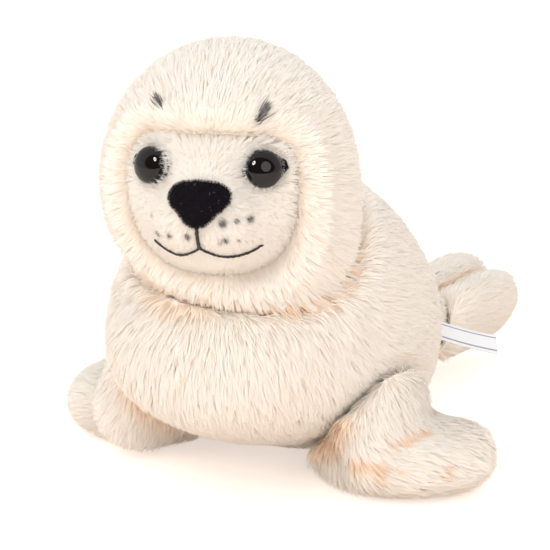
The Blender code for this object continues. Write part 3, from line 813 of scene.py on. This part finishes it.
def comb_trunk(points, normals):
    chest = ease(-points[:, 1], CHEST_FROM, CHEST_FULL)[:, None]
    down = np.stack([points[:, 0] * 5.0, np.full(len(points), 0.25), np.full(len(points), -1.0)], axis=1)
    back = np.stack([np.zeros(len(points)), np.ones(len(points)), np.full(len(points), -0.30)], axis=1)
    return down * chest + back * (1 - chest)


LONG_BLADE = 0.0095
LONG_WIDTH = 0.00062
LONG_LIFT = (26.0, 3.0)
TRUNK_SPLIT = -0.045
BELLY_TOP = 0.008
BELLY_SHARE = 0.25

others_of_trunk = [pouch_trees[n] for n in POUCHES if n not in ("trunk", "face_panel")]
trunk_points = points_of(backings["trunk"].data)
belly = np.where(trunk_points[:, 2] < BELLY_TOP, BELLY_SHARE, 1.0)
ahead_of_split = (trunk_points[:, 1] < TRUNK_SPLIT).astype(float)

trunk_piles = [
    grow_pile(name, "trunk", 53000, LONG_BLADE, LONG_WIDTH, LONG_LIFT, comb_trunk, long_pile, others_of_trunk,
              density=belly * share)
    for name, share in (("trunk_pile_front", ahead_of_split), ("trunk_pile_rear", 1 - ahead_of_split))
]
finish_pouch("trunk", trunk_piles)

# %% [markdown]
# ## The hood's pile
#
# Round the face the pile is brushed away from it, like a parting. Close to the opening it is trimmed
# shorter. Over the eyes a few finer blades stand up through it and are dyed dark for the brows. Chance
# decides which of them grow, so that each mark fades out at its edge.

# %% Hood pile
def comb_hood(points, normals):
    away, out = away_from_face(points)
    return away + 0.45 * out + np.array([0.0, 0.0, -0.12])


def near_marks(points, marks):
    """How many of the blades are dark: each mark is a side and an up angle, a radius and a strength."""
    side, up = head_angles(points)
    share = np.zeros(len(points))
    for mark_side, mark_up, radius, strength_there in marks:
        away = ((side - mark_side) * np.cos(np.radians(up))) ** 2 + (up - mark_up) ** 2
        share = np.maximum(share, strength_there * np.exp(-away / radius**2))
    return np.minimum(1.6 * share, 1.0)


TRIM = 0.65
TRIM_FROM = 0.003
TRIM_REACH = 0.020
BROW_BLADE = 0.0066
BROW_WIDTH = 0.00032
BROW_LIFT = (60.0, 22.0)
BROW_ZONE = 5.0
BROW_SEED = 5
BROWS = (
    (-24.8, 35.0, 0.8, 0.20), (-27.6, 36.4, 1.0, 0.30), (24.0, 31.2, 0.9, 0.55), (25.6, 33.0, 1.1, 0.60),
    (27.0, 34.8, 0.9, 0.40),
)

hood_pile = grow_pile(
    "hood_pile", "head", 60000, LONG_BLADE, LONG_WIDTH, LONG_LIFT, comb_hood, long_pile,
    (pouch_trees["trunk"], pouch_trees["face_panel"]),
    size_at=lambda p: TRIM + (1 - TRIM) * ease(gap_to("face_panel", p), TRIM_FROM, TRIM_REACH))
brow_marks = [(side, up, BROW_ZONE, 1.0) for side, up, _, _ in BROWS]
brow_zone = near_marks(points_of(backings["head"].data), brow_marks)
tuft_chance = np.random.default_rng(BROW_SEED)
brow_tufts = grow_pile(
    "brow_tufts", "head", 6500, BROW_BLADE, BROW_WIDTH, BROW_LIFT, comb_hood, long_pile, density=brow_zone,
    lock=4, gather=0.25, wander=12.0, dye=lambda p: np.ones(len(p)),
    keep=lambda p: near_marks(p, BROWS) > tuft_chance.random(len(p)))
finish_pouch("head", [hood_pile, brow_tufts])

# %% [markdown]
# ## The face's pile
#
# The face is a shorter plush, so its forms show: the muzzle, the whisker pads and the chin. It is brushed out
# from the nose, and it leaves room for the eyes. Round each dome stands a ring of finer blades that lean over
# its edge. The inner ones are shorter and dark. The outer ones are longer and pale, and they leave the temple
# free, where the felt's pointed corner shows.

# %% Face pile
def eye_axes():
    """Each eye's axis, from the middle of its washer to the middle of its dome, read from the solids."""
    found = {}
    for side in ("left", "right"):
        dome = np.array([v.co for v in frame["nodes"]["eye_" + side].data.vertices])
        washer = np.array([v.co for v in frame["nodes"]["eye_washer_" + side].data.vertices])
        low, high = washer.mean(axis=0), dome.mean(axis=0)
        way = Vector(high - low).normalized()
        heights = (dome - np.array(HEAD_CENTRE)) @ np.array(way)
        found[side] = (way, float(heights.max()), float(heights.min()))
    return found


EYES = eye_axes()
EYE_RADIUS = 0.0070
EYE_ROOM = 0.0080
print("eyes:", {side: [round(x, 3) for x in eye[0]] for side, eye in EYES.items()})


def from_eye(points):
    """Each point's distance and way out from the nearer eye's axis, and its share towards the temple."""
    local = np.asarray(points) - np.array(HEAD_CENTRE)
    nearest, way_out, temple = np.full(len(local), 1.0), np.zeros_like(local), np.zeros(len(local))
    beside = np.array(head_way(90.0, 0.0))
    for axis, _, _ in EYES.values():
        axis = np.array(axis)
        apart = local - (local @ axis)[:, None] * axis
        far = np.linalg.norm(apart, axis=1)
        closer = far < nearest
        nearest[closer] = far[closer]
        way_out[closer] = unit(apart)[closer]
        temple[closer] = (unit(apart) @ beside * np.sign(axis @ beside))[closer]
    return nearest, way_out, temple


def comb_face(points, normals):
    away, _ = away_from_face(points)
    return away + np.array([0.0, 0.0, -0.25])


WHISKERS = (
    (-21.4, -18.3, 1.5, 1.0), (-16.6, -17.0, 1.0, 0.4), (-11.9, -15.4, 1.2, 0.8), (-4.1, -14.7, 1.2, 0.85),
    (-23.7, -10.4, 1.0, 0.5), (9.3, -9.3, 1.3, 1.0), (14.6, -9.1, 1.1, 0.75), (20.2, -9.5, 1.4, 1.0),
    (10.2, -16.2, 1.2, 0.9), (15.5, -17.3, 0.9, 0.5), (8.1, -17.3, 0.9, 0.5), (21.8, -17.3, 0.9, 0.3),
)
SEAM_REACH = 0.009
SEAM_EXTRA = 1.1
FACE_BLADE = 0.0036
FACE_WIDTH = 0.00034
FACE_LIFT = (50.0, 16.0)


def comb_rim(points, normals):
    """Round an eye the pile stands up and leans over the dome's rim."""
    return -from_eye(points)[1]


face_pile = grow_pile(
    "face_pile", "face_panel", 47000, FACE_BLADE, FACE_WIDTH, FACE_LIFT, comb_face, short_pile,
    lock=8, gather=0.15, wander=10.0, dye=lambda p: near_marks(p, WHISKERS),
    size_at=lambda p: 1.0 + SEAM_EXTRA * (1 - ease(gap_to("head", p), 0.0, SEAM_REACH)),
    keep=lambda p: from_eye(p)[0] > EYE_ROOM)

DARK_RIM = 0.0079
PALE_RIM = 0.0098
DARK_SIZE = 0.75
PALE_SIZE = 1.2
DOME_LAP = 0.0001
TEMPLE_GAP = 0.95
RIM_BLADE = 0.0052
RIM_WIDTH = 0.00022
RIM_LIFT = (76.0, 50.0)
rim_zone = (from_eye(points_of(backings["face_panel"].data))[0] < PALE_RIM).astype(float)
eye_rims = grow_pile(
    "eye_rims", "face_panel", 6500, RIM_BLADE, RIM_WIDTH, RIM_LIFT, comb_rim, short_pile, density=rim_zone,
    lock=4, gather=0.2, wander=14.0, dye_by_root=True,
    dye=lambda p: (from_eye(p)[0] < DARK_RIM).astype(float),
    size_at=lambda p: np.where(from_eye(p)[0] < DARK_RIM, DARK_SIZE, PALE_SIZE),
    keep=lambda p: (from_eye(p)[0] > EYE_RADIUS - DOME_LAP)
    & ((from_eye(p)[2] < TEMPLE_GAP) | (from_eye(p)[0] < DARK_RIM)))
finish_pouch("face_panel", [face_pile, eye_rims])

# %% [markdown]
# ## The flippers' pile
#
# The arm is combed down to the wrist, and the hand out to its tip. The hind paddles are combed straight back.
# The left hand has a few soft folds: along chosen points its pile is pressed in a little and takes a painted
# peach shade.

# %% Flipper pile
def comb_front(sign):
    def comb(points, normals):
        hand = (ease(-points[:, 2], -0.045, -0.022) * ease(sign * points[:, 0], 0.045, 0.070))[:, None]
        arm = np.tile([0.15 * sign, 0.0, -1.0], (len(points), 1))
        out = np.tile([0.95 * sign, 0.30, -0.25], (len(points), 1))
        return arm * (1 - hand) + out * hand

    return comb


HAND_FOLDS = (
    ((0.0656, -0.0835, 0.0286), (0.0695, -0.0774, 0.0288), (0.0715, -0.0647, 0.0285)),
    ((0.0517, -0.0859, 0.0206), (0.0590, -0.0872, 0.0197), (0.0655, -0.0847, 0.0184),
     (0.0702, -0.0818, 0.0167)),
    ((0.0616, -0.0854, 0.0131), (0.0655, -0.0847, 0.0184)),
    ((0.0856, -0.0710, 0.0182), (0.0847, -0.0726, 0.0132)),
)
FOLD_DEPTH = 0.0006
FOLD_WIDTH = 0.0014
# How much painted peach shade the pile takes in a fold.
FOLD_PAINTED_SHADE = 0.75


def hand_folds(points):
    """How deep the pile is pressed in along the folds, and how much painted shade it takes there."""
    nearest = np.full(len(points), 1.0)
    for fold in HAND_FOLDS:
        for start, end in zip(np.array(fold), np.array(fold)[1:]):
            along = np.clip((points - start) @ (end - start) / ((end - start) ** 2).sum(), 0.0, 1.0)
            apart = points - start - along[:, None] * (end - start)
            nearest = np.minimum(nearest, np.linalg.norm(apart, axis=1))
    share = np.exp(-(np.maximum(nearest - LONG_PILE_DEPTH, 0.0) / FOLD_WIDTH) ** 2)
    return FOLD_DEPTH * share, FOLD_PAINTED_SHADE * share


def comb_hind(points, normals):
    return np.tile([0.0, 1.0, -0.12], (len(points), 1))


FLIPPER_BLADE = LONG_BLADE * 0.85

for side, sign in (("left", 1), ("right", -1)):
    front = "front_flipper_" + side
    pile = grow_pile(front + "_pile", front, 22000, FLIPPER_BLADE, LONG_WIDTH, LONG_LIFT, comb_front(sign),
                     long_pile, [pouch_trees["trunk"]], dent=hand_folds if side == "left" else None)
    finish_pouch(front, [pile])
for side, other in (("left", "right"), ("right", "left")):
    hind = "hind_flipper_" + side
    pile = grow_pile(hind + "_pile", hind, 10500, FLIPPER_BLADE, LONG_WIDTH, LONG_LIFT, comb_hind,
                     long_pile, [pouch_trees["trunk"], pouch_trees["hind_flipper_" + other]])
    finish_pouch(hind, [pile])

# %% [markdown]
# ## Safety eyes
#
# Each eye is one glossy black moulding: a low dome on a ribbed stem. A turned profile gives it a clean
# round rim. Its axis, its top and the end of its stem are read from the solid that it stands for.

# %% Eyes
EYE_STEPS = 64
DOME_CURVE_STEPS = 16
DOME_HEIGHT = 0.0046
DOME_RIM = 0.0009
STEM_RADIUS = 0.0024
STEM_RIB = 0.0004
STEM_RIBS = 4
STEM_NECK = 0.0022
RIB_SLOPE = 0.6
RIM_EDGE = 0.0002
EYE_SHARP = 40.0


def add_turned(shape, profile, way, origin, steps):
    """Turns a profile of radius and height round an axis and adds it to a shape."""
    side = way.orthogonal().normalized()
    front = way.cross(side)
    turns = [2 * math.pi * i / steps for i in range(steps)]
    rings = []
    for radius, height in profile:
        middle = origin + way * height
        rings.append([shape.verts.new(middle + (side * math.cos(t) + front * math.sin(t)) * radius)
                      for t in (turns if radius else turns[:1])])
    for ring, following in zip(rings, rings[1:]):
        for i in range(steps):
            j = (i + 1) % steps
            corners = (ring[i % len(ring)], ring[j % len(ring)],
                       following[j % len(following)], following[i % len(following)])
            shape.faces.new(list(dict.fromkeys(corners)))


def finish_shape(name, shape, sharp=180.0):
    """Makes a smooth piece of a shape, with creases only where it turns by more than the sharp angle."""
    bmesh.ops.recalc_face_normals(shape, faces=shape.faces)
    mesh = bpy.data.meshes.new(name)
    shape.to_mesh(mesh)
    shape.free()
    mesh.shade_smooth()
    if sharp < 180.0:
        mesh.set_sharp_from_angle(angle=math.radians(sharp))
    return add_object(name, mesh)


def eye_profile(top, tip):
    """From the dome's pole out to its rim and down the ribbed stem. Heights are from the head's centre."""
    base = top - DOME_HEIGHT
    profile = [(0.0, top)]
    for i in range(1, DOME_CURVE_STEPS + 1):
        turn = math.pi / 2 * i / DOME_CURVE_STEPS
        height = base + DOME_RIM + (DOME_HEIGHT - DOME_RIM) * math.cos(turn)
        profile.append((EYE_RADIUS * math.sin(turn), height))
    profile += [(EYE_RADIUS, base + RIM_EDGE), (EYE_RADIUS - RIM_EDGE, base), (STEM_RADIUS, base)]
    pitch = (base - STEM_NECK - tip) / STEM_RIBS
    for i in range(STEM_RIBS):
        start = base - STEM_NECK - pitch * i
        profile += [(STEM_RADIUS, start), (STEM_RADIUS - STEM_RIB, start - RIB_SLOPE * pitch)]
    return profile + [(STEM_RADIUS - STEM_RIB, tip), (0.0, tip)]


eye_material, nodes, links, shader = new_material("eye_gloss")
cloud = fine_texture(nodes, links, "Noise", Scale=60.0)
links.new(colour_mix(nodes, links, cloud, (0.004, 0.003, 0.003), (0.010, 0.008, 0.007)),
          shader.inputs["Base Color"])
set_inputs(shader, {"Roughness": 0.04, "Specular IOR Level": 0.30})

for side, (way, top, tip) in EYES.items():
    shape = bmesh.new()
    add_turned(shape, eye_profile(top, tip), way, HEAD_CENTRE, EYE_STEPS)
    eye = finish_shape("eye_dome_" + side, shape, EYE_SHARP)
    eye.data.materials.append(eye_material)
    dress(eye, "eye_" + side)
    print(eye.name, len(eye.data.polygons), "faces")

# %% [markdown]
# ## Felt
#
# Felt is matted wool: dull black, with a bloom of loose fibre on its surface. The backings behind the eyes
# keep their solids. The nose is a padded patch, so it gets a finer skin of its own and a fuzz of very short
# fibres.

# %% Felt and nose
felt_material, nodes, links, shader = new_material("black_felt")
wool = fine_texture(nodes, links, "Noise", Scale=1400.0, Detail=4.0)
links.new(colour_mix(nodes, links, wool, (0.003, 0.002, 0.003), (0.012, 0.009, 0.013)),
          shader.inputs["Base Color"])
add_bumps(nodes, links, shader, wool, 0.8, 0.0004)
set_inputs(shader, {"Roughness": 1.0, "Specular IOR Level": 0.1, "Sheen Weight": 0.05})

for side in EYES:
    felt = frame["nodes"]["eye_felt_" + side]
    felt.data.materials.clear()
    felt.data.materials.append(felt_material)

NOSE_GRID = 0.0004
nose = sew_backing("nose", 0.0, NOSE_GRID)
nose.name = "nose_felt"
nose.data.materials.clear()
nose.data.materials.append(felt_material)
dress(nose, "nose")

fuzz_material, nodes, links, shader = new_material("felt_fuzz")
wool_tone = mark_of(nodes, links, "tone", 0.0, 1.0)
wool_colour = colour_mix(nodes, links, wool_tone, (0.003, 0.002, 0.004), (0.014, 0.011, 0.016))
lint = mark_of(nodes, links, "tone", 0.90, 0.94)
links.new(colour_mix(nodes, links, lint, wool_colour, (0.18, 0.17, 0.20)), shader.inputs["Base Color"])
set_inputs(shader, {"Roughness": 1.0, "Specular IOR Level": 0.1})
backings["nose"] = nose
hidden["nose"] = creases["nose"] = np.zeros(len(nose.data.vertices))

FUZZ_BLADE = 0.0014
FUZZ_WIDTH = 0.00014
FUZZ_LIFT = (70.0, 35.0)
FUZZ_SEED = 3


def comb_fuzz(points, normals):
    """Matted wool lies every way at once."""
    return np.random.default_rng(FUZZ_SEED).normal(size=points.shape)


nose_fuzz = grow_pile("nose_fuzz", "nose", 6000, FUZZ_BLADE, FUZZ_WIDTH, FUZZ_LIFT, comb_fuzz,
                      fuzz_material, lock=3, gather=0.1, wander=60.0)
dress(nose_fuzz, "nose")

# %% [markdown]
# ## The stitched mouth
#
# The mouth is embroidered: short stitches of black thread, one after the other, each a little off the
# line. A stitch is a small capsule. Its place comes from a ray that is sent in from outside, towards the
# head's centre, and meets the face.

# %% Mouth
THREAD_RADIUS = 0.00046
PHILTRUM_RADIUS = 0.00066
STITCH = 0.0021
STITCH_STEP = 0.0010
THREAD_LIFT = 0.0003
THREAD_SIDES = 10
STITCH_SEED = 11
CAPSULE = ((-0.5, 0.0), (-0.47, 0.55), (-0.36, 0.95), (0.0, 1.08), (0.36, 0.95), (0.47, 0.55), (0.5, 0.0))
PHILTRUM = ((0.0, -10.5), (0.0, -15.0), (0.0, -19.6))
SMILE = ((0.0, -19.4), (3.5, -22.0), (9.0, -24.9), (15.5, -26.4), (21.5, -26.0), (26.5, -24.0))


def on_face(side, up, lift):
    way = head_way(side, up)
    place = pouch_trees["face_panel"].ray_cast(HEAD_CENTRE + way * 0.08, -way)[0]
    return place + way * lift


def even_route(angles, step):
    """Points at even steps along a smooth curve through some angles on the face."""
    rows = np.array(angles, float)
    ends = np.vstack([2 * rows[0] - rows[1], rows, 2 * rows[-1] - rows[-2]])
    fine = []
    for before, start, end, after in zip(ends, ends[1:], ends[2:], ends[3:]):
        for t in np.linspace(0.0, 1.0, 12, endpoint=False):
            bend = 2 * before - 5 * start + 4 * end - after
            twist = 3 * start - before - 3 * end + after
            fine.append(0.5 * (2 * start + (end - before) * t + bend * t**2 + twist * t**3))
    fine.append(rows[-1])
    route = [on_face(side, up, THREAD_RADIUS + THREAD_LIFT) for side, up in fine]
    far = np.concatenate([[0.0], np.cumsum([(b - a).length for a, b in zip(route, route[1:])])])
    places = np.arange(0.0, far[-1], step)
    xyz = np.array(route)
    return np.stack([np.interp(places, far, xyz[:, i]) for i in range(3)], axis=1)


def stitch_line(shape, angles, radius, random):
    """Sews stitches along a route, each turned a little off it. Returns how many."""
    route = even_route(angles, STITCH_STEP)
    for i, place in enumerate(route):
        before, after = route[max(i - 1, 0)], route[min(i + 1, len(route) - 1)]
        along = Vector(after - before).normalized()
        out = (Vector(place) - HEAD_CENTRE).normalized()
        swing = math.radians(random.uniform(-9.0, 9.0) + (7.0 if i % 2 else -7.0))
        along = Matrix.Rotation(swing, 3, out) @ along
        thickness = radius * random.uniform(0.85, 1.1)
        capsule = [(thickness * wide, STITCH * share) for share, wide in CAPSULE]
        add_turned(shape, capsule, along, Vector(place), THREAD_SIDES)
    return len(route)


shape = bmesh.new()
random = np.random.default_rng(STITCH_SEED)
count = stitch_line(shape, PHILTRUM, PHILTRUM_RADIUS, random)
for sign in (1, -1):
    count += stitch_line(shape, [(sign * side, up) for side, up in SMILE], THREAD_RADIUS, random)
mouth = finish_shape("mouth_thread", shape)
print("mouth:", count, "stitches")

thread_material, nodes, links, shader = new_material("black_thread")
ply = fine_texture(nodes, links, "Wave", Scale=900.0, Distortion=2.0)
links.new(colour_mix(nodes, links, ply, (0.006, 0.005, 0.005), (0.022, 0.019, 0.018)),
          shader.inputs["Base Color"])
set_inputs(shader, {"Roughness": 0.6})
mouth.data.materials.append(thread_material)
dress(mouth, "mouth_stitching")

# %% [markdown]
# ## Lock washers
#
# The washers sit behind the face, where nothing shows them. Their solids stay, in plain moulded plastic.

# %% Washers
washer_material, nodes, links, shader = new_material("washer_plastic")
grain = fine_texture(nodes, links, "Noise", Scale=800.0)
links.new(colour_mix(nodes, links, grain, (0.86, 0.86, 0.84), (0.93, 0.93, 0.91)),
          shader.inputs["Base Color"])
set_inputs(shader, {"Roughness": 0.45})
for side in EYES:
    washer = frame["nodes"]["eye_washer_" + side]
    washer.data.materials.clear()
    washer.data.materials.append(washer_material)
    print(washer.name, "keeps its solid")

# %% [markdown]
# ## The ribbon
#
# A narrow satin ribbon is sewn into the flank's seam. It is one strip of cloth. A thin stripe runs along each
# edge, so that the white ribbon shows against the white room.

# %% Ribbon
LABEL_ROOT = Vector((0.0310, 0.0170, 0.0500))
LABEL_LENGTH = 0.0360
LABEL_WIDTH = 0.0100
LABEL_HEADING = math.radians(30.0)
LABEL_DROP = 0.0110
LABEL_DROP_EASE = 0.75
LABEL_LEAN = math.radians(52.0)
RIBBON_ALONG = 40
RIBBON_ACROSS = 10
RIBBON_HALF = 0.00018
STRIPE_PLACE = 0.16
STRIPE_HALF = 0.035
STRIPE_COLOUR = (0.30, 0.32, 0.38)
RIBBON_SHARP = 50.0
LAYOUT_EDGE = 0.02
LAYOUT_LONG = 0.96
LAYOUT_WIDE = 0.42


def ribbon_place(along, across, lift):
    """A point on the ribbon: along and across run from 0 to 1, and lift is off its face."""
    out = Vector((math.cos(LABEL_HEADING), math.sin(LABEL_HEADING), 0.0))
    beside = Vector((-math.sin(LABEL_HEADING), math.cos(LABEL_HEADING), 0.0))
    wide = Vector((0.0, 0.0, 1.0)) * math.cos(LABEL_LEAN) + beside * math.sin(LABEL_LEAN)
    fall = Vector((0.0, 0.0, LABEL_DROP)) * along**LABEL_DROP_EASE
    middle = LABEL_ROOT + out * LABEL_LENGTH * along - fall
    normal = out.cross(wide).normalized()
    cup = 0.0005 * math.sin(math.pi * across) + 0.0004 * math.sin(5.0 * along + 1.0)
    return middle + wide * LABEL_WIDTH * (across - 0.5) + normal * (lift + cup)


shape = bmesh.new()
across_mark = shape.verts.layers.float.new("across")
layout = shape.loops.layers.uv.new("OFBake")
sheets = []
for lift in (RIBBON_HALF, -RIBBON_HALF):
    grid = [[shape.verts.new(ribbon_place(i / RIBBON_ALONG, j / RIBBON_ACROSS, lift))
             for j in range(RIBBON_ACROSS + 1)] for i in range(RIBBON_ALONG + 1)]
    for row in grid:
        for j, corner in enumerate(row):
            corner[across_mark] = j / RIBBON_ACROSS
    sheets.append(grid)


def add_patch(corners, spots):
    """A face with its place in the layout."""
    for loop, spot in zip(shape.faces.new(corners).loops, spots):
        loop[layout].uv = spot


for start, grid in zip((LAYOUT_EDGE, 0.50), sheets):
    for i in range(RIBBON_ALONG):
        for j in range(RIBBON_ACROSS):
            ring = ((i, j), (i, j + 1), (i + 1, j + 1), (i + 1, j))
            spots = [(LAYOUT_EDGE + LAYOUT_LONG * k / RIBBON_ALONG, start + LAYOUT_WIDE * l / RIBBON_ACROSS)
                     for k, l in ring]
            add_patch([grid[k][l] for k, l in ring], spots)
top, bottom = sheets
edge = [(i, 0) for i in range(RIBBON_ALONG)] + [(RIBBON_ALONG, j) for j in range(RIBBON_ACROSS)]
edge += [(i, RIBBON_ACROSS) for i in range(RIBBON_ALONG, 0, -1)]
edge += [(0, j) for j in range(RIBBON_ACROSS, 0, -1)]
for n, ((i, j), (k, l)) in enumerate(zip(edge, edge[1:] + edge[:1])):
    here, there = (LAYOUT_EDGE + LAYOUT_LONG * m / len(edge) for m in (n, n + 1))
    add_patch((top[i][j], top[k][l], bottom[k][l], bottom[i][j]),
              ((here, 0.95), (there, 0.95), (there, 0.98), (here, 0.98)))
ribbon = finish_shape("ribbon", shape, RIBBON_SHARP)
print("ribbon:", len(ribbon.data.polygons), "faces")

ribbon_material, nodes, links, shader = new_material("satin_ribbon")
weave = fine_texture(nodes, links, "Wave", Scale=1500.0)
satin = colour_mix(nodes, links, weave, (0.84, 0.84, 0.85), (0.76, 0.76, 0.78))
across = nodes.new("ShaderNodeAttribute")
across.attribute_name = "across"
from_edge = nodes.new("ShaderNodeMath")
from_edge.operation = "PINGPONG"
from_edge.inputs[1].default_value = 0.5
links.new(across.outputs["Fac"], from_edge.inputs[0])
stripe = nodes.new("ShaderNodeMath")
stripe.operation = "COMPARE"
stripe.inputs[1].default_value = STRIPE_PLACE
stripe.inputs[2].default_value = STRIPE_HALF
links.new(from_edge.outputs[0], stripe.inputs[0])
links.new(colour_mix(nodes, links, stripe.outputs[0], satin, STRIPE_COLOUR), shader.inputs["Base Color"])
add_bumps(nodes, links, shader, weave, 0.3, 0.0002)
set_inputs(shader, {"Roughness": 0.4})
ribbon.data.materials.append(ribbon_material)
dress(ribbon, "label")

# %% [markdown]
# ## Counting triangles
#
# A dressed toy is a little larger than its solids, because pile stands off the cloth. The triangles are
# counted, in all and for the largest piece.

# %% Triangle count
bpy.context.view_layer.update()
counts = {}
for piece in bpy.context.scene.objects:
    if piece.type == "MESH" and piece.name not in frame["nodes"]:
        counts[piece.name] = sum(len(face.vertices) - 2 for face in piece.data.polygons)
print("triangles in all:", sum(counts.values()))
print("most in one piece:", max(counts.items(), key=lambda item: item[1]))
